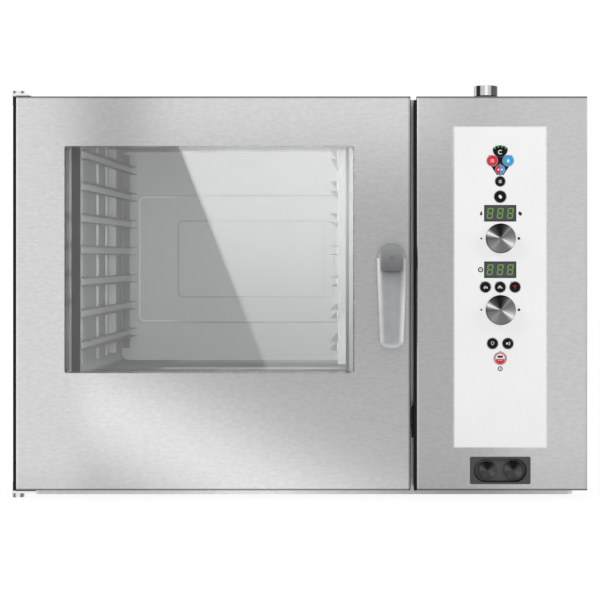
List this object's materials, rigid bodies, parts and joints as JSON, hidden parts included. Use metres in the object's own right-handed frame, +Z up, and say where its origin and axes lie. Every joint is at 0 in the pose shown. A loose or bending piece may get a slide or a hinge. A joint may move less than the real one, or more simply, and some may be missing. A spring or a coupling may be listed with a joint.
{
  "type": "combi steamer oven",
  "caption": "Countertop combi steamer oven: hinged glazed door with a turning lever handle, tray racks, fan and heater, and a panel of keys, knobs and displays.",
  "frame": {"origin": "middle of the case's width and depth, on the flat underside of the plinth", "axes": "+X to the right seen from the front, +Y from the front to the back, +Z up"},
  "size_m": [1.182, 0.943, 0.896],
  "materials": {
    "casing_steel": "fine horizontal grain",
    "plain_steel": "mill finish",
    "cavity_steel": "bright",
    "fan_steel": "plain",
    "heater_sheath": "heat tinted",
    "mineral_wool": "matt",
    "motor_cast": "cast",
    "black_rubber": "matt",
    "outer_pane": "clear",
    "inner_pane": "clear",
    "hinge_steel": "satin chrome",
    "black_polymer": "moulded",
    "handle_cast": "satin",
    "overlay_white": "smooth",
    "display_window": "dark window",
    "board_green": "board",
    "encoder_metal": "plain",
    "knob_aluminium": "radially brushed",
    "key_black": "smooth",
    "key_red": "smooth",
    "key_blue": "smooth",
    "key_two_tone": "smooth, half red and half blue",
    "key_white": "smooth, red ring",
    "service_grey": "fine texture",
    "cap_black": "smooth",
    "vent_polished": "polished",
    "valve_body": "plain",
    "drain_steel": "plain"
  },
  "bodies": {
    "case": {"base": "plain_steel", "left_side_panel": "casing_steel", "right_side_panel": "casing_steel", "rear_panel": "plain_steel", "top_cover": "casing_steel", "front_frame": "casing_steel", "inner_frame": "plain_steel", "cavity_liner": "cavity_steel", "insulation": "mineral_wool", "left_rack": "cavity_steel", "right_rack": "cavity_steel", "fan_baffle": "cavity_steel", "heating_element": "heater_sheath", "fan_motor": "motor_cast", "door_gasket": "black_rubber", "hinge_brackets": "hinge_steel", "hinge_pins": "hinge_steel", "latch_strike": "hinge_steel", "control_front": "casing_steel", "panel_edge_seal": "black_rubber", "membrane": "overlay_white", "displays": "display_window", "control_board": "board_green", "encoders": "encoder_metal", "service_housing": "service_grey", "vent_pipe": "vent_polished", "vent_collar": "black_polymer", "vent_cap": "vent_polished", "water_valves": "valve_body", "drain_pipe": "drain_steel", "cable_gland": "black_polymer", "screws": "hinge_steel"},
    "door": {"door_skin": "casing_steel", "door_liner": "cavity_steel", "window_tunnel": "cavity_steel", "outer_glass": "outer_pane", "inner_glass": "inner_pane", "inner_glass_seal": "black_rubber", "glass_clips": "hinge_steel", "door_edge_trim": "black_rubber", "hinge_blocks": "black_polymer"},
    "handle": {"handle": "handle_cast", "latch": "hinge_steel"},
    "fan": {"fan_wheel": "fan_steel"},
    "knob_upper": {"knob_upper": "knob_aluminium"},
    "knob_lower": {"knob_lower": "knob_aluminium"},
    "probe_cap": {"probe_cap": "cap_black"},
    "usb_cap": {"usb_cap": "cap_black"},
    "key_convection": {"key_convection": "key_red"},
    "key_steam": {"key_steam": "key_blue"},
    "key_humidity": {"key_humidity": "key_black"},
    "key_fan_speed": {"key_fan_speed": "key_black"},
    "key_timer": {"key_timer": "key_black"},
    "key_phase": {"key_phase": "key_black"},
    "key_core_probe": {"key_core_probe": "key_black"},
    "key_light": {"key_light": "key_black"},
    "key_cool_down": {"key_cool_down": "key_black"},
    "key_start_stop": {"key_start_stop": "key_white"},
    "key_mode_top": {"key_mode_top": "key_black"},
    "key_combination": {"key_combination": "key_two_tone"}
  },
  "joints": [
    {"name": "door_swing", "type": "hinge", "parent": "case", "child": "door", "pos_m": [-0.5845, -0.4405, 0.4215], "axis": [0, 0, -1], "range_deg": [0, 180]},
    {"name": "handle_turn", "type": "hinge", "parent": "door", "child": "handle", "pos_m": [0.1845, -0.4625, 0.494], "axis": [0, 1, 0], "range_deg": [-75, 75]},
    {"name": "fan_spin", "type": "hinge", "parent": "case", "child": "fan", "pos_m": [0.12575, -0.029, 0.4985], "axis": [1, 0, 0], "continuous": true},
    {"name": "knob_upper_turn", "type": "hinge", "parent": "case", "child": "knob_upper", "pos_m": [0.4065, -0.4625, 0.534], "axis": [0, 1, 0], "continuous": true},
    {"name": "knob_lower_turn", "type": "hinge", "parent": "case", "child": "knob_lower", "pos_m": [0.4065, -0.4625, 0.388], "axis": [0, 1, 0], "continuous": true},
    {"name": "probe_cap_twist", "type": "hinge", "parent": "case", "child": "probe_cap", "pos_m": [0.38, -0.4625, 0.0595], "axis": [0, 1, 0], "range_deg": [0, 90]},
    {"name": "usb_cap_pull", "type": "slide", "parent": "case", "child": "usb_cap", "axis": [0, -1, 0], "range_m": [0, 0.02]},
    {"name": "key_convection_press", "type": "slide", "parent": "case", "child": "key_convection", "axis": [0, 1, 0], "range_m": [0, 0.0008], "stiffness_N_per_m": 500, "springref_m": -0.001},
    {"name": "key_steam_press", "type": "slide", "parent": "case", "child": "key_steam", "axis": [0, 1, 0], "range_m": [0, 0.0008], "stiffness_N_per_m": 500, "springref_m": -0.001},
    {"name": "key_humidity_press", "type": "slide", "parent": "case", "child": "key_humidity", "axis": [0, 1, 0], "range_m": [0, 0.0008], "stiffness_N_per_m": 500, "springref_m": -0.001},
    {"name": "key_fan_speed_press", "type": "slide", "parent": "case", "child": "key_fan_speed", "axis": [0, 1, 0], "range_m": [0, 0.0008], "stiffness_N_per_m": 500, "springref_m": -0.001},
    {"name": "key_timer_press", "type": "slide", "parent": "case", "child": "key_timer", "axis": [0, 1, 0], "range_m": [0, 0.0008], "stiffness_N_per_m": 500, "springref_m": -0.001},
    {"name": "key_phase_press", "type": "slide", "parent": "case", "child": "key_phase", "axis": [0, 1, 0], "range_m": [0, 0.0008], "stiffness_N_per_m": 500, "springref_m": -0.001},
    {"name": "key_core_probe_press", "type": "slide", "parent": "case", "child": "key_core_probe", "axis": [0, 1, 0], "range_m": [0, 0.0008], "stiffness_N_per_m": 500, "springref_m": -0.001},
    {"name": "key_light_press", "type": "slide", "parent": "case", "child": "key_light", "axis": [0, 1, 0], "range_m": [0, 0.0008], "stiffness_N_per_m": 500, "springref_m": -0.001},
    {"name": "key_cool_down_press", "type": "slide", "parent": "case", "child": "key_cool_down", "axis": [0, 1, 0], "range_m": [0, 0.0008], "stiffness_N_per_m": 500, "springref_m": -0.001},
    {"name": "key_start_stop_press", "type": "slide", "parent": "case", "child": "key_start_stop", "axis": [0, 1, 0], "range_m": [0, 0.0008], "stiffness_N_per_m": 500, "springref_m": -0.001},
    {"name": "key_mode_top_press", "type": "slide", "parent": "case", "child": "key_mode_top", "axis": [0, 1, 0], "range_m": [0, 0.0008], "stiffness_N_per_m": 500, "springref_m": -0.001},
    {"name": "key_combination_press", "type": "slide", "parent": "case", "child": "key_combination", "axis": [0, 1, 0], "range_m": [0, 0.0008], "stiffness_N_per_m": 500, "springref_m": -0.001}
  ]
}
